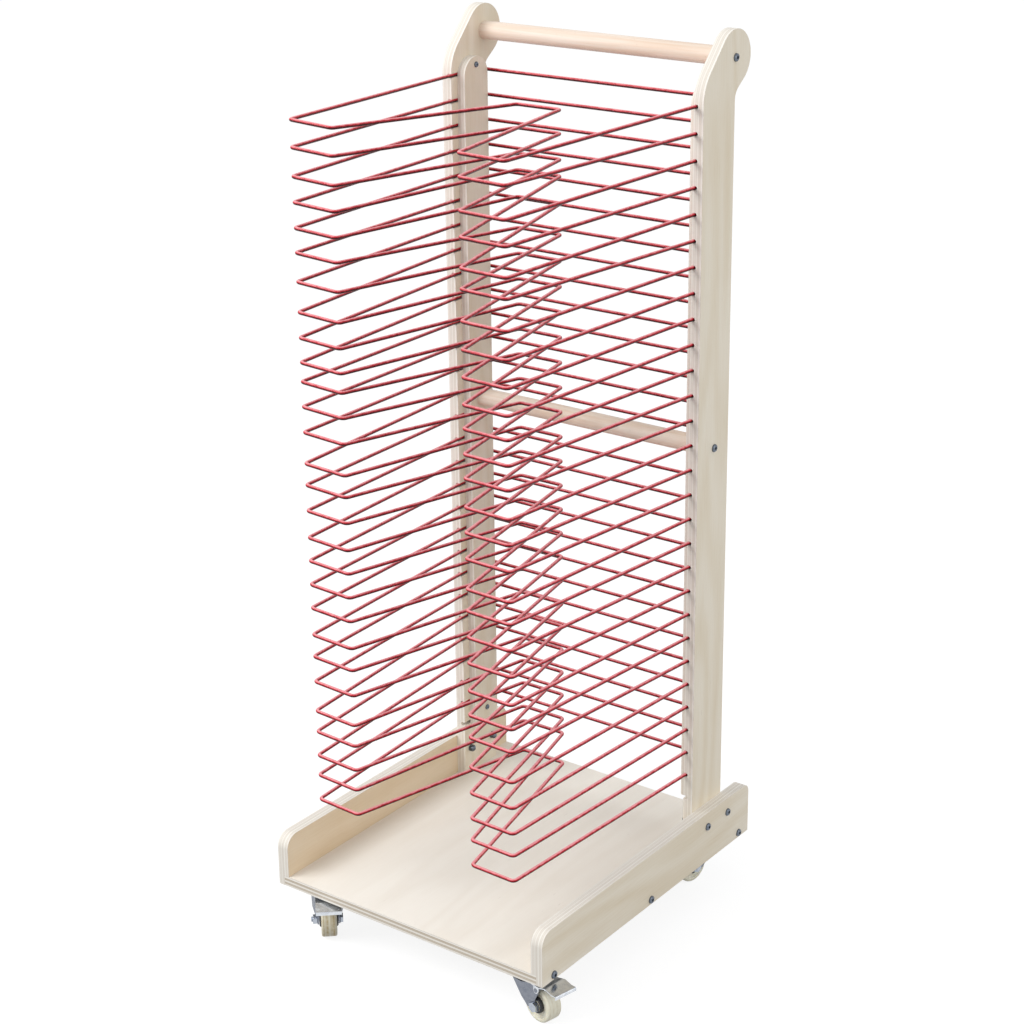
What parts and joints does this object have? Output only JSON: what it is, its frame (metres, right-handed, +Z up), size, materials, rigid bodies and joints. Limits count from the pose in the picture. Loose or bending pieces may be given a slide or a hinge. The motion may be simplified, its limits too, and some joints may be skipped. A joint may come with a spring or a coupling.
{
  "type": "art drying rack",
  "caption": "Mobile art drying rack: wire shelves held in grooved plywood posts, a dowel push handle, and a plywood base on swivel casters with brakes.",
  "frame": {"origin": "on the floor under the middle of the rack's bounding box, casters and pedals included", "axes": "+X to the right seen from the open front, +Y to the posts and push handle at the back, +Z up"},
  "size_m": [0.4872, 0.5362, 1.2333],
  "materials": {
    "birch_plywood": "clear satin lacquer on birch veneer, bare sanded ply edges",
    "beech_dowel": "satin lacquer on beech",
    "red_coated_wire": "glossy red powder coat on steel wire",
    "zinc_plated_steel": "bright zinc plate",
    "chromed_steel": "bright chrome on pressed steel",
    "cream_nylon": "satin moulded nylon"
  },
  "bodies": {
    "stand": {"base_board": "birch_plywood", "left_side_rail": "birch_plywood", "right_side_rail": "birch_plywood", "left_post": "birch_plywood", "right_post": "birch_plywood", "left_wire_strip": "birch_plywood", "right_wire_strip": "birch_plywood", "handle_dowel": "beech_dowel", "cross_dowel": "beech_dowel", "wire_shelf_01": "red_coated_wire", "wire_shelf_02": "red_coated_wire", "wire_shelf_03": "red_coated_wire", "wire_shelf_04": "red_coated_wire", "wire_shelf_05": "red_coated_wire", "wire_shelf_06": "red_coated_wire", "wire_shelf_07": "red_coated_wire", "wire_shelf_08": "red_coated_wire", "wire_shelf_09": "red_coated_wire", "wire_shelf_10": "red_coated_wire", "wire_shelf_11": "red_coated_wire", "wire_shelf_12": "red_coated_wire", "wire_shelf_13": "red_coated_wire", "wire_shelf_14": "red_coated_wire", "wire_shelf_15": "red_coated_wire", "wire_shelf_16": "red_coated_wire", "wire_shelf_17": "red_coated_wire", "wire_shelf_18": "red_coated_wire", "wire_shelf_19": "red_coated_wire", "wire_shelf_20": "red_coated_wire", "wire_shelf_21": "red_coated_wire", "wire_shelf_22": "red_coated_wire", "wire_shelf_23": "red_coated_wire", "wire_shelf_24": "red_coated_wire", "wire_shelf_25": "red_coated_wire", "wire_shelf_26": "red_coated_wire", "wire_shelf_27": "red_coated_wire", "wire_shelf_28": "red_coated_wire", "dowel_bolts": "zinc_plated_steel", "rail_bolts": "zinc_plated_steel", "rail_cap_nuts": "zinc_plated_steel", "board_screws": "zinc_plated_steel", "strip_screws": "zinc_plated_steel", "caster_screws": "zinc_plated_steel", "caster_kingpins": "zinc_plated_steel", "caster_top_plates": "zinc_plated_steel"},
    "front_left_caster": {"front_left_fork": "chromed_steel", "front_left_axle": "zinc_plated_steel"},
    "front_left_roller": {"front_left_wheel": "cream_nylon"},
    "front_left_brake": {"front_left_brake_pedal": "chromed_steel"},
    "front_right_caster": {"front_right_fork": "chromed_steel", "front_right_axle": "zinc_plated_steel"},
    "front_right_roller": {"front_right_wheel": "cream_nylon"},
    "front_right_brake": {"front_right_brake_pedal": "chromed_steel"},
    "rear_left_caster": {"rear_left_fork": "chromed_steel", "rear_left_axle": "zinc_plated_steel"},
    "rear_left_roller": {"rear_left_wheel": "cream_nylon"},
    "rear_right_caster": {"rear_right_fork": "chromed_steel", "rear_right_axle": "zinc_plated_steel"},
    "rear_right_roller": {"rear_right_wheel": "cream_nylon"}
  },
  "joints": [
    {"name": "front_left_swivel", "type": "hinge", "parent": "stand", "child": "front_left_caster", "pos_m": [-0.18528, -0.20467, 0], "axis": [0, 0, 1], "continuous": true},
    {"name": "front_left_roll", "type": "hinge", "parent": "front_left_caster", "child": "front_left_roller", "pos_m": [-0.16876, -0.22276, 0.025], "axis": [0.7385, 0.6743, 0], "continuous": true},
    {"name": "front_left_brake_press", "type": "hinge", "parent": "front_left_caster", "child": "front_left_brake", "pos_m": [-0.16505, -0.22682, 0.0526], "axis": [0.7385, 0.6743, 0], "range_deg": [0, 8]},
    {"name": "front_right_swivel", "type": "hinge", "parent": "stand", "child": "front_right_caster", "pos_m": [0.17182, -0.21107, 0], "axis": [0, 0, 1], "continuous": true},
    {"name": "front_right_roll", "type": "hinge", "parent": "front_right_caster", "child": "front_right_roller", "pos_m": [0.19571, -0.2165, 0.025], "axis": [0.2215, 0.9751, 0], "continuous": true},
    {"name": "front_right_brake_press", "type": "hinge", "parent": "front_right_caster", "child": "front_right_brake", "pos_m": [0.20107, -0.21772, 0.0526], "axis": [0.2215, 0.9751, 0], "range_deg": [0, 8]},
    {"name": "rear_left_swivel", "type": "hinge", "parent": "stand", "child": "rear_left_caster", "pos_m": [-0.18898, 0.22213, 0], "axis": [0, 0, 1], "continuous": true},
    {"name": "rear_left_roll", "type": "hinge", "parent": "rear_left_caster", "child": "rear_left_roller", "pos_m": [-0.19614, 0.1987, 0.025], "axis": [0.9563, -0.2924, 0], "continuous": true},
    {"name": "rear_right_swivel", "type": "hinge", "parent": "stand", "child": "rear_right_caster", "pos_m": [0.16182, 0.22213, 0], "axis": [0, 0, 1], "continuous": true},
    {"name": "rear_right_roll", "type": "hinge", "parent": "rear_right_caster", "child": "rear_right_roller", "pos_m": [0.15715, 0.19808, 0.025], "axis": [0.9816, -0.1908, 0], "continuous": true}
  ]
}
